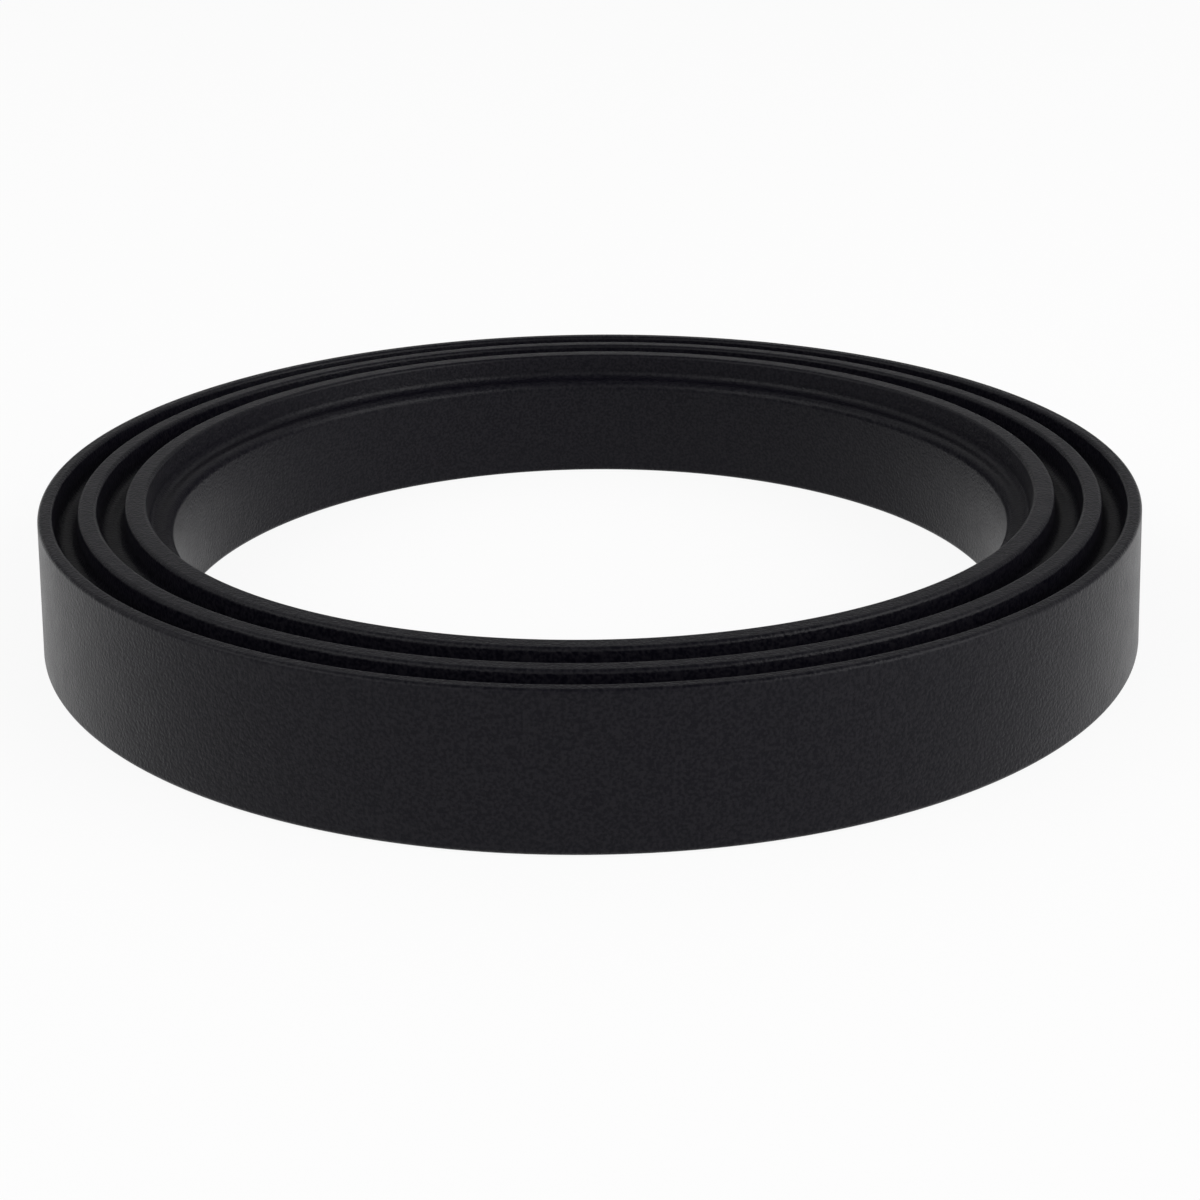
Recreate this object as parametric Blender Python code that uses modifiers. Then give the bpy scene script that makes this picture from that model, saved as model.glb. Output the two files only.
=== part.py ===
"""Flush valve seal: one moulded rubber ring with concentric sealing ribs round its top face.

Metres, +Z up. The origin is the centre of the underside, the flat face that the ring rests on.
The ring is its section, drawn at +X as one closed outline and turned about Z.
"""

import math
from typing import NamedTuple

import bmesh
import bpy
from mathutils import Matrix, Vector

COLLECTION_NAME = "flush_valve_seal"
RING_NAME = "seal_ring"

# The body of the ring, which a valve's threaded tail passes through
BORE_DIAMETER = 0.0794
BODY_HEIGHT = 0.0108

# Both walls lean outwards on the way down, so that the ring leaves its mould
BORE_FLARE = 0.0004
OUTER_FLARE = 0.0008

# The raised ribs, from the bore outwards: each crest's width, and the flat floor before it
LEDGE_WIDTH = 0.00225
INNER_RIB_WIDTH = 0.00195
INNER_GROOVE_WIDTH = 0.00255
OUTER_RIB_WIDTH = 0.0017
OUTER_GROOVE_WIDTH = 0.00225
RIM_WIDTH = 0.0013
RIB_HEIGHT = 0.0026
RIB_DRAFT = math.radians(4.0)

# How far each kind of corner is rounded
CREST_ROUNDING = 0.0004
ROOT_ROUNDING = 0.00085
LEDGE_ROUNDING = 0.001
FOOT_ROUNDING = 0.0005

# Fineness of the ring and of its rounded corners
RING_STEPS = 96
CREST_STEPS = 2
ROOT_STEPS = 3
BODY_CORNER_STEPS = 3
WELD_DISTANCE = 0.00001

RUBBER_COLOUR = (0.010, 0.0095, 0.011, 1.0)
RUBBER_ROUGHNESS = 0.62
RUBBER_SPECULAR = 0.45


class Corner(NamedTuple):
    """One corner of the section, where it would be if it were sharp, and how it is rounded."""

    radius: float
    height: float
    rounding: float
    steps: int

    @property
    def place(self) -> Vector:
        """The sharp corner as (distance from the axis, height)."""
        return Vector((self.radius, self.height))


class Rib(NamedTuple):
    """A raised rib: the floor that it stands off from its inner neighbour, and its crest's width."""

    floor: float
    width: float


RIBS = (
    Rib(LEDGE_WIDTH, INNER_RIB_WIDTH),
    Rib(INNER_GROOVE_WIDTH, OUTER_RIB_WIDTH),
    Rib(OUTER_GROOVE_WIDTH, RIM_WIDTH),
)


def clear_scene() -> None:
    """Removes the objects that the scene starts with."""
    for found in list(bpy.data.objects):
        bpy.data.objects.remove(found, do_unlink=True)


def rib_corners(inner: float, outer: float) -> list[Corner]:
    """Corners of one rib between two crest radii, from its inner root over the crest to its outer root."""
    crest_height = BODY_HEIGHT + RIB_HEIGHT
    flank = RIB_HEIGHT * math.tan(RIB_DRAFT)
    return [
        Corner(inner - flank, BODY_HEIGHT, ROOT_ROUNDING, ROOT_STEPS),
        Corner(inner, crest_height, CREST_ROUNDING, CREST_STEPS),
        Corner(outer, crest_height, CREST_ROUNDING, CREST_STEPS),
        Corner(outer + flank, BODY_HEIGHT, ROOT_ROUNDING, ROOT_STEPS),
    ]


def section_corners() -> list[Corner]:
    """Corners of the section: up the bore, out over the ribs and down the outer wall to the underside."""
    bore = BORE_DIAMETER / 2
    corners = [
        Corner(bore + BORE_FLARE, 0.0, FOOT_ROUNDING, BODY_CORNER_STEPS),
        Corner(bore, BODY_HEIGHT, LEDGE_ROUNDING, BODY_CORNER_STEPS),
    ]
    edge = bore
    for rib in RIBS:
        inner = edge + rib.floor
        edge = inner + rib.width
        corners += rib_corners(inner, edge)
    # The rim is the last rib, and its outer flank is the ring's own outer wall
    corners[-1] = Corner(edge + OUTER_FLARE, 0.0, FOOT_ROUNDING, BODY_CORNER_STEPS)
    return corners


def rounded_corner(before: Corner, corner: Corner, after: Corner) -> list[Vector]:
    """Points of the arc that rounds a corner, tangent to the sides that meet there."""
    to_before = (before.place - corner.place).normalized()
    to_after = (after.place - corner.place).normalized()
    half_angle = to_before.angle(to_after) / 2
    start = corner.place + to_before * (corner.rounding / math.tan(half_angle))
    inwards = (to_before + to_after).normalized()
    centre = corner.place + inwards * (corner.rounding / math.sin(half_angle))
    spoke = start - centre
    sweep = math.copysign(math.pi - 2 * half_angle, to_after.cross(to_before))
    angles = [sweep * step / corner.steps for step in range(corner.steps + 1)]
    return [centre + Matrix.Rotation(angle, 2) @ spoke for angle in angles]


def rounded_outline(corners: list[Corner]) -> list[Vector]:
    """The closed outline through all the corners, each one rounded."""
    outline = []
    for index, corner in enumerate(corners):
        after = corners[(index + 1) % len(corners)]
        outline += rounded_corner(corners[index - 1], corner, after)
    return outline


def profile_mesh(name: str, outline: list[Vector]) -> bpy.types.Mesh:
    """The outline as a loop of edges in the XZ plane, ready to be turned about Z."""
    profile = bmesh.new()
    points = [profile.verts.new((point.x, 0.0, point.y)) for point in outline]
    for index, point in enumerate(points):
        profile.edges.new((points[index - 1], point))
    mesh = bpy.data.meshes.new(name)
    profile.to_mesh(mesh)
    profile.free()
    return mesh


def turn_about_z(ring: bpy.types.Object) -> None:
    """Turns the ring's profile through a full circle, and shades its flat faces as flat."""
    turned = ring.modifiers.new("Turned about Z", "SCREW")
    turned.axis = "Z"
    turned.angle = math.tau
    turned.steps = RING_STEPS
    turned.render_steps = RING_STEPS
    turned.use_merge_vertices = True
    turned.merge_threshold = WELD_DISTANCE
    turned.use_smooth_shade = True
    ring.modifiers.new("Faces weigh in shading", "WEIGHTED_NORMAL")


def rubber_material() -> bpy.types.Material:
    """Black moulded rubber with a dull satin surface."""
    material = bpy.data.materials.new("black_rubber")
    material.use_nodes = True
    surface = material.node_tree.nodes["Principled BSDF"]
    surface.inputs["Base Color"].default_value = RUBBER_COLOUR
    surface.inputs["Roughness"].default_value = RUBBER_ROUGHNESS
    surface.inputs["Specular IOR Level"].default_value = RUBBER_SPECULAR
    surface.inputs["Metallic"].default_value = 0.0
    material.diffuse_color = RUBBER_COLOUR
    return material


def build_ring(collection: bpy.types.Collection) -> bpy.types.Object:
    """The seal itself, the only piece of the object."""
    mesh = profile_mesh(RING_NAME, rounded_outline(section_corners()))
    mesh.materials.append(rubber_material())
    ring = bpy.data.objects.new(RING_NAME, mesh)
    collection.objects.link(ring)
    turn_about_z(ring)
    return ring


def main() -> None:
    """Builds the seal in a collection of its own."""
    clear_scene()
    collection = bpy.data.collections.new(COLLECTION_NAME)
    bpy.context.scene.collection.children.link(collection)
    build_ring(collection)


if __name__ == "__main__":
    main()
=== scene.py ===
"""Looks of the flush valve seal: the fine ring, its black rubber, the pale studio and the camera.

Metres, +Z up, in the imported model's own frame: the ring stands on its underside round the Z axis.
"""

import logging
import math
from dataclasses import dataclass, field
from enum import Enum

import bmesh
import bpy
from mathutils import Matrix, Vector


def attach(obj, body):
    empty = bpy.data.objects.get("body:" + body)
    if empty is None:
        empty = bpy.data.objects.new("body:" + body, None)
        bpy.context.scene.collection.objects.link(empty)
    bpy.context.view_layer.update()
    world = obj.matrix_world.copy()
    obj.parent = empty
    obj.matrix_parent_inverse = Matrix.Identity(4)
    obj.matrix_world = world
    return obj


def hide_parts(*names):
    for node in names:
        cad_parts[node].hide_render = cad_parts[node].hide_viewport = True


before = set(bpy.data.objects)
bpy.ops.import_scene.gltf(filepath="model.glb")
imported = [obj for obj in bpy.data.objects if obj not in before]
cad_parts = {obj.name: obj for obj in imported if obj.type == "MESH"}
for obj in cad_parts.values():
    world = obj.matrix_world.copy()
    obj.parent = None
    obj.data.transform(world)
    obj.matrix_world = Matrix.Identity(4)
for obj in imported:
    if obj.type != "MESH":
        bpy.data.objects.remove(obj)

LOG = logging.getLogger("flush_valve_seal")

RING_NODE = "seal_ring"
RING_PIECE = "seal_ring_fine"
RUBBER_SLOT = "black_rubber"
ROOT_BODY = "root"
WELD_DISTANCE = 1e-6
PLACE_DECIMALS = 6
NOISE_MIDDLE = 0.5
WHITE = (1.0, 1.0, 1.0, 1.0)


class Edge(Enum):
    """The kinds of corner in the ring's section.

    Each value is the length of side, in metres, that the corner's rounding takes.
    """

    CREST = 0.00037
    ROOT = 0.00079
    LIP = 0.00096
    FOOT = 0.0005


@dataclass(frozen=True)
class Corner:
    """One corner of the ring's section, before it is rounded."""

    radius: float
    height: float
    edge: Edge


@dataclass(frozen=True)
class BlackRubber:
    """Moulded black rubber: nearly black, satin, with a fine grain in its skin."""

    colour: tuple[float, float, float, float] = (0.0014, 0.0012, 0.0035, 1.0)
    bloom: tuple[float, float, float, float] = (0.0078, 0.0072, 0.0101, 1.0)
    roughness: float = 0.34
    roughness_spread: float = 0.06
    specular_level: float = 0.13
    grain_per_metre: float = 3400.0
    grain_detail: float = 3.0
    grain_depth: float = 0.00007
    grain_contrast: float = 0.10
    patch_per_metre: float = 420.0
    patch_detail: float = 4.0

    def material(self) -> bpy.types.Material:
        """Makes the rubber's material.

        Returns:
            A node material that reads only Object coordinates.
        """
        material = bpy.data.materials.new(RUBBER_SLOT)
        material.use_nodes = True
        nodes = material.node_tree.nodes
        links = material.node_tree.links
        surface = nodes["Principled BSDF"]
        surface.inputs["Specular IOR Level"].default_value = self.specular_level
        place = nodes.new("ShaderNodeTexCoord")

        grain = nodes.new("ShaderNodeTexNoise")
        grain.inputs["Scale"].default_value = self.grain_per_metre
        grain.inputs["Detail"].default_value = self.grain_detail
        links.new(place.outputs["Object"], grain.inputs["Vector"])

        patches = nodes.new("ShaderNodeTexNoise")
        patches.inputs["Scale"].default_value = self.patch_per_metre
        patches.inputs["Detail"].default_value = self.patch_detail
        links.new(place.outputs["Object"], patches.inputs["Vector"])

        speckle = nodes.new("ShaderNodeMapRange")
        speckle.inputs["From Min"].default_value = NOISE_MIDDLE - self.grain_contrast
        speckle.inputs["From Max"].default_value = NOISE_MIDDLE + self.grain_contrast
        links.new(grain.outputs["Fac"], speckle.inputs["Value"])
        tone = nodes.new("ShaderNodeMix")
        tone.data_type = "RGBA"
        tone.inputs["A"].default_value = self.colour
        tone.inputs["B"].default_value = self.bloom
        links.new(speckle.outputs["Result"], tone.inputs["Factor"])
        links.new(tone.outputs["Result"], surface.inputs["Base Color"])

        gloss = nodes.new("ShaderNodeMapRange")
        gloss.inputs["To Min"].default_value = self.roughness - self.roughness_spread
        gloss.inputs["To Max"].default_value = self.roughness + self.roughness_spread
        links.new(patches.outputs["Fac"], gloss.inputs["Value"])
        links.new(gloss.outputs["Result"], surface.inputs["Roughness"])

        bump = nodes.new("ShaderNodeBump")
        bump.inputs["Strength"].default_value = 1.0
        bump.inputs["Distance"].default_value = self.grain_depth
        links.new(grain.outputs["Fac"], bump.inputs["Height"])
        links.new(bump.outputs["Normal"], surface.inputs["Normal"])
        return material


@dataclass(frozen=True)
class PaleFloor:
    """Matt white floor, which is also the whole background."""

    colour: tuple[float, float, float, float] = (0.90, 0.90, 0.90, 1.0)
    roughness: float = 1.0
    specular_level: float = 0.0
    backdrop_strength: float = 1.0
    backdrop_share: float = 0.9

    def material(self) -> bpy.types.Material:
        """Makes the floor's material.

        Returns:
            A matt material that the camera and reflections see as nearly white, with a soft shadow.
        """
        material = bpy.data.materials.new("pale_floor")
        material.use_nodes = True
        nodes = material.node_tree.nodes
        links = material.node_tree.links
        matt = nodes["Principled BSDF"]
        matt.inputs["Base Color"].default_value = self.colour
        matt.inputs["Roughness"].default_value = self.roughness
        matt.inputs["Specular IOR Level"].default_value = self.specular_level

        white = nodes.new("ShaderNodeEmission")
        white.inputs["Color"].default_value = WHITE
        white.inputs["Strength"].default_value = self.backdrop_strength
        rays = nodes.new("ShaderNodeLightPath")
        seen = nodes.new("ShaderNodeMath")
        seen.operation = "MAXIMUM"
        links.new(rays.outputs["Is Camera Ray"], seen.inputs[0])
        links.new(rays.outputs["Is Glossy Ray"], seen.inputs[1])
        seen_or_through = nodes.new("ShaderNodeMath")
        seen_or_through.operation = "MAXIMUM"
        links.new(seen.outputs["Value"], seen_or_through.inputs[0])
        links.new(rays.outputs["Is Transmission Ray"], seen_or_through.inputs[1])
        share = nodes.new("ShaderNodeMath")
        share.operation = "MULTIPLY"
        share.inputs[1].default_value = self.backdrop_share
        links.new(seen_or_through.outputs["Value"], share.inputs[0])
        mixed = nodes.new("ShaderNodeMixShader")
        links.new(share.outputs["Value"], mixed.inputs["Fac"])
        links.new(matt.outputs["BSDF"], mixed.inputs[1])
        links.new(white.outputs["Emission"], mixed.inputs[2])
        links.new(mixed.outputs["Shader"], nodes["Material Output"].inputs["Surface"])
        return material


@dataclass
class SealRing:
    """The moulded ring: a plain bore and outer wall, and three ribs round its top face."""

    bore: float = 0.0397
    body_height: float = 0.0108
    rib_height: float = 0.0026
    rib_draft: float = math.radians(4.0)
    bore_flare: float = 0.0004
    outer_flare: float = 0.0008
    floors: tuple[float, ...] = (0.00225, 0.00255, 0.00225)
    crests: tuple[float, ...] = (0.00195, 0.0017, 0.0013)
    steps: int = 384
    corner_segments: int = 5
    finish: BlackRubber = field(default_factory=BlackRubber)
    piece: bpy.types.Object | None = None

    def corners(self) -> list[Corner]:
        """Lists the section's corners.

        Returns:
            The corners from the bore's foot up the bore, out over the ribs and down the outer wall.
        """
        top = self.body_height + self.rib_height
        flank = self.rib_height * math.tan(self.rib_draft)
        found = [
            Corner(self.bore + self.bore_flare, 0.0, Edge.FOOT),
            Corner(self.bore, self.body_height, Edge.LIP),
        ]
        edge = self.bore
        for floor, crest in zip(self.floors, self.crests):
            inner = edge + floor
            edge = inner + crest
            found += [
                Corner(inner - flank, self.body_height, Edge.ROOT),
                Corner(inner, top, Edge.CREST),
                Corner(edge, top, Edge.CREST),
                Corner(edge + flank, self.body_height, Edge.ROOT),
            ]
        found[-1] = Corner(edge + self.outer_flare, 0.0, Edge.FOOT)
        return found

    def round_edges(self, ring: bmesh.types.BMesh, edge: Edge, corners: list[Corner]) -> None:
        """Rounds every circular edge of one kind.

        Args:
            ring: The turned ring with sharp edges.
            edge: The kind of edge to round.
            corners: The section's corners.
        """
        spots = {
            (round(corner.radius, PLACE_DECIMALS), round(corner.height, PLACE_DECIMALS))
            for corner in corners
            if corner.edge is edge
        }

        def spot_of(vert: bmesh.types.BMVert) -> tuple[float, float]:
            """Gives a vertex's distance from the axis and its height, rounded."""
            return (round(vert.co.xy.length, PLACE_DECIMALS), round(vert.co.z, PLACE_DECIMALS))

        circles = [
            side for side in ring.edges
            if all(spot_of(vert) in spots for vert in side.verts)
            and abs(side.verts[0].co.xy.length - side.verts[1].co.xy.length) < WELD_DISTANCE
            and abs(side.verts[0].co.z - side.verts[1].co.z) < WELD_DISTANCE
        ]
        bmesh.ops.bevel(
            ring,
            geom=circles,
            offset=edge.value,
            offset_type="OFFSET",
            affect="EDGES",
            segments=self.corner_segments,
            profile=0.5,
            material=-1,
            loop_slide=True,
            clamp_overlap=True,
        )

    def build(self) -> bpy.types.Object:
        """Turns the section about Z and rounds its edges.

        Returns:
            The ring as one closed mesh with its place in its vertices.
        """
        corners = self.corners()
        ring = bmesh.new()
        points = [ring.verts.new((c.radius, 0.0, c.height)) for c in corners]
        sides = [ring.edges.new((points[i - 1], p)) for i, p in enumerate(points)]
        bmesh.ops.spin(
            ring,
            geom=points + sides,
            cent=(0.0, 0.0, 0.0),
            axis=(0.0, 0.0, 1.0),
            angle=math.tau,
            steps=self.steps,
            use_merge=True,
        )
        bmesh.ops.remove_doubles(ring, verts=ring.verts[:], dist=WELD_DISTANCE)
        bmesh.ops.recalc_face_normals(ring, faces=ring.faces[:])
        for edge in Edge:
            self.round_edges(ring, edge, corners)
        mesh = bpy.data.meshes.new(RING_PIECE)
        ring.to_mesh(mesh)
        ring.free()
        mesh.shade_smooth()
        self.piece = bpy.data.objects.new(RING_PIECE, mesh)
        bpy.context.scene.collection.objects.link(self.piece)
        self.piece.modifiers.new("Faces weigh in shading", "WEIGHTED_NORMAL")
        return self.piece

    def dress(self) -> None:
        """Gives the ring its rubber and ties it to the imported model."""
        self.piece.data.materials.append(self.finish.material())
        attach(self.piece, ROOT_BODY)
        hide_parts(RING_NODE)


@dataclass(frozen=True)
class SoftBox:
    """A rectangular lamp that faces the ring, as bright as its radiance says from any distance."""

    name: str
    azimuth: float
    elevation: float
    width: float
    height: float
    radiance: float
    distance: float = 1.2

    def hang(self) -> None:
        """Hangs the lamp in the scene, turned towards the origin."""
        lamp = bpy.data.lights.new(self.name, "AREA")
        lamp.shape = "RECTANGLE"
        lamp.size = self.width
        lamp.size_y = self.height
        lamp.energy = math.pi * self.width * self.height * self.radiance
        box = bpy.data.objects.new(self.name, lamp)
        turn = math.radians(self.azimuth)
        rise = math.radians(self.elevation)
        out = Vector((
            math.cos(turn) * math.cos(rise),
            math.sin(turn) * math.cos(rise),
            math.sin(rise),
        ))
        box.location = out * self.distance
        box.rotation_euler = (-out).to_track_quat("-Z", "Y").to_euler()
        bpy.context.scene.collection.objects.link(box)


@dataclass(frozen=True)
class Room:
    """The room round the floor: bright halfway up, dim low down and dimmer again overhead.

    The light rises along a line that leans a little towards the front, -Y, and falls again
    by height alone.
    """

    dim: float = 0.02
    bright: float = 1.1
    rise_weight: float = 1.0
    back_weight: float = -0.14
    dim_below: float = 0.13
    bright_above: float = 0.6
    halfway_share: float = 1.0
    zenith_share: float = 0.2
    fall_above: float = 0.45
    fallen_above: float = 0.95

    def world(self) -> bpy.types.World:
        """Makes the room's light.

        Returns:
            A world whose strength rises smoothly from the horizon, and falls again
            towards the zenith.
        """
        world = bpy.data.worlds.new("room")
        world.use_nodes = True
        nodes = world.node_tree.nodes
        links = world.node_tree.links
        sky = nodes["Background"]
        sky.inputs["Color"].default_value = WHITE
        way = nodes.new("ShaderNodeTexCoord")
        lean = nodes.new("ShaderNodeVectorMath")
        lean.operation = "DOT_PRODUCT"
        lean.inputs[1].default_value = (0.0, self.back_weight, self.rise_weight)
        links.new(way.outputs["Generated"], lean.inputs[0])
        level = nodes.new("ShaderNodeMapRange")
        level.interpolation_type = "SMOOTHSTEP"
        level.inputs["From Min"].default_value = self.dim_below
        level.inputs["From Max"].default_value = self.bright_above
        level.inputs["To Min"].default_value = self.dim
        level.inputs["To Max"].default_value = self.bright
        links.new(lean.outputs["Value"], level.inputs["Value"])

        height = nodes.new("ShaderNodeSeparateXYZ")
        links.new(way.outputs["Generated"], height.inputs["Vector"])
        fall = nodes.new("ShaderNodeMapRange")
        fall.interpolation_type = "SMOOTHSTEP"
        fall.inputs["From Min"].default_value = self.fall_above
        fall.inputs["From Max"].default_value = self.fallen_above
        fall.inputs["To Min"].default_value = self.halfway_share
        fall.inputs["To Max"].default_value = self.zenith_share
        links.new(height.outputs["Z"], fall.inputs["Value"])
        strength = nodes.new("ShaderNodeMath")
        strength.operation = "MULTIPLY"
        links.new(level.outputs["Result"], strength.inputs[0])
        links.new(fall.outputs["Result"], strength.inputs[1])
        links.new(strength.outputs["Value"], sky.inputs["Strength"])
        return world


@dataclass
class Studio:
    """The pale floor with its upturned edge, the soft lamps and the light of the room."""

    floor_half: float = 3.0
    edge_height: float = 0.4
    cove_width: float = 0.3
    cove_segments: int = 8
    room: Room = field(default_factory=Room)
    floor: PaleFloor = field(default_factory=PaleFloor)
    lamps: tuple[SoftBox, ...] = (
        SoftBox("right_lamp", 335.0, 26.0, 1.00, 0.90, 3.0),
        SoftBox("left_lamp", 205.0, 42.0, 1.10, 0.70, 1.6),
    )

    def lay_floor(self) -> None:
        """Lays the floor and turns its edge up all round, as a low backdrop."""
        sheet = bmesh.new()
        bmesh.ops.create_grid(sheet, x_segments=1, y_segments=1, size=self.floor_half)
        border = sheet.edges[:]
        turned_up = bmesh.ops.extrude_edge_only(sheet, edges=border)["geom"]
        raised = [made for made in turned_up if isinstance(made, bmesh.types.BMVert)]
        bmesh.ops.translate(sheet, verts=raised, vec=(0.0, 0.0, self.edge_height))
        bmesh.ops.bevel(
            sheet,
            geom=border,
            offset=self.cove_width,
            offset_type="OFFSET",
            affect="EDGES",
            segments=self.cove_segments,
            profile=0.5,
            material=-1,
        )
        mesh = bpy.data.meshes.new("floor")
        sheet.to_mesh(mesh)
        sheet.free()
        mesh.materials.append(self.floor.material())
        floor = bpy.data.objects.new("floor", mesh)
        bpy.context.scene.collection.objects.link(floor)

    def build(self) -> None:
        """Lays the floor, hangs the lamps and sets the room's light."""
        self.lay_floor()
        for lamp in self.lamps:
            lamp.hang()
        bpy.context.scene.world = self.room.world()
        bpy.context.scene.view_settings.view_transform = "Standard"


@dataclass(frozen=True)
class Viewpoint:
    """The camera that sees the ring as the photograph does.

    Distances are in metres, angles in radians, and focal_pixels, centre and picture in
    the photograph's pixels.
    """

    distance: float = 0.20187
    elevation: float = 0.3804
    roll: float = 0.0125
    focal_pixels: float = 2041.2748
    centre: tuple[float, float] = (591.3255, 597.6271)
    picture: float = 1200.0
    sensor_millimetres: float = 36.0
    nearest_seen: float = 0.01

    def place(self) -> None:
        """Sets up the scene's camera."""
        eye = Vector((0.0, -math.cos(self.elevation), math.sin(self.elevation))) * self.distance
        look = (-eye).to_track_quat("-Z", "Y").to_matrix()
        aside = math.atan((self.centre[0] - self.picture / 2) / self.focal_pixels)
        down = math.atan((self.centre[1] - self.picture / 2) / self.focal_pixels)
        turn = look @ Matrix.Rotation(-self.roll, 3, "Z")
        turn = turn @ Matrix.Rotation(aside, 3, "Y") @ Matrix.Rotation(down, 3, "X")
        data = bpy.data.cameras.new("camera")
        data.sensor_width = self.sensor_millimetres
        data.lens = self.focal_pixels / self.picture * self.sensor_millimetres
        data.clip_start = self.nearest_seen
        camera = bpy.data.objects.new("camera", data)
        camera.matrix_world = Matrix.Translation(eye) @ turn.to_4x4()
        bpy.context.scene.collection.objects.link(camera)
        bpy.context.scene.camera = camera


def main() -> None:
    """Builds the camera, the studio and the ring in turn."""
    logging.basicConfig(level=logging.INFO, format="%(name)s: %(message)s")
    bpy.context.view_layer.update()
    Viewpoint().place()
    Studio().build()
    ring = SealRing()
    piece = ring.build()
    ring.dress()
    LOG.info("%s: %d faces", piece.name, len(piece.data.polygons))
    bpy.context.view_layer.update()


if __name__ == "__main__":
    main()
